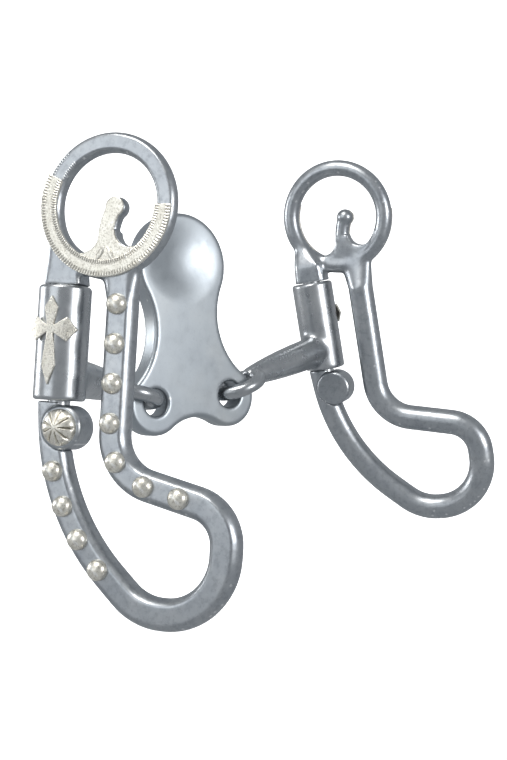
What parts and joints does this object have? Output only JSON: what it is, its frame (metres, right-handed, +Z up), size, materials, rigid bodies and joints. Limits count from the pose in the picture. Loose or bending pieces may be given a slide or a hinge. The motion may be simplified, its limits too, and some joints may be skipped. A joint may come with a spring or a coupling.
{
  "type": "curb bit",
  "caption": "Loose-cheek western curb bit: two loop cheeks with headstall rings and curb hooks, swivel sleeves, and a linked mouthpiece with a tall port plate.",
  "frame": {"origin": "middle of the left headstall ring, halfway through the thickness of its bar", "axes": "+X from the left cheek to the right cheek, +Y towards the horse's nose, +Z up towards the headstall"},
  "size_m": [0.1551, 0.1106, 0.1536],
  "materials": {
    "forged_steel": "satin",
    "satin_steel": "satin",
    "polished_steel": "polished",
    "silver": "satin",
    "engraved_silver": "engraved"
  },
  "bodies": {
    "left_cheek_body": {"left_cheek": "forged_steel", "left_pivot_pin": "forged_steel", "left_boss": "forged_steel", "left_ring_overlay": "engraved_silver", "left_concho": "silver", "left_rear_leg_studs": "silver", "left_front_leg_studs": "silver"},
    "left_arm": {"left_sleeve": "polished_steel", "left_cannon": "satin_steel", "left_sleeve_cross": "silver"},
    "plate": {"port_plate": "satin_steel"},
    "right_arm": {"right_sleeve": "polished_steel", "right_cannon": "satin_steel", "right_sleeve_cross": "silver"},
    "right_cheek_body": {"right_cheek": "forged_steel", "right_pivot_pin": "forged_steel", "right_boss": "forged_steel", "right_ring_overlay": "engraved_silver", "right_concho": "silver", "right_rear_leg_studs": "silver", "right_front_leg_studs": "silver"}
  },
  "joints": [
    {"name": "left_swivel", "type": "hinge", "parent": "left_cheek_body", "child": "left_arm", "pos_m": [0.0013, 0.0132, -0.0385], "axis": [0, 0, 1], "range_deg": [-50, 60]},
    {"name": "left_link", "type": "hinge", "parent": "left_arm", "child": "plate", "pos_m": [0.05153, 0.01583, -0.052], "axis": [0.245, 0.0128, 0.9694], "range_deg": [-55, 60]},
    {"name": "right_link", "type": "hinge", "parent": "plate", "child": "right_arm", "pos_m": [0.08712, -0.00589, -0.04577], "axis": [-0.4067, 0.228, 0.8846], "range_deg": [-55, 60]},
    {"name": "right_swivel", "type": "hinge", "parent": "right_arm", "child": "right_cheek_body", "pos_m": [0.13127, -0.01876, -0.02131], "axis": [-0.1849, 0.1597, 0.9697], "range_deg": [-50, 60]}
  ]
}
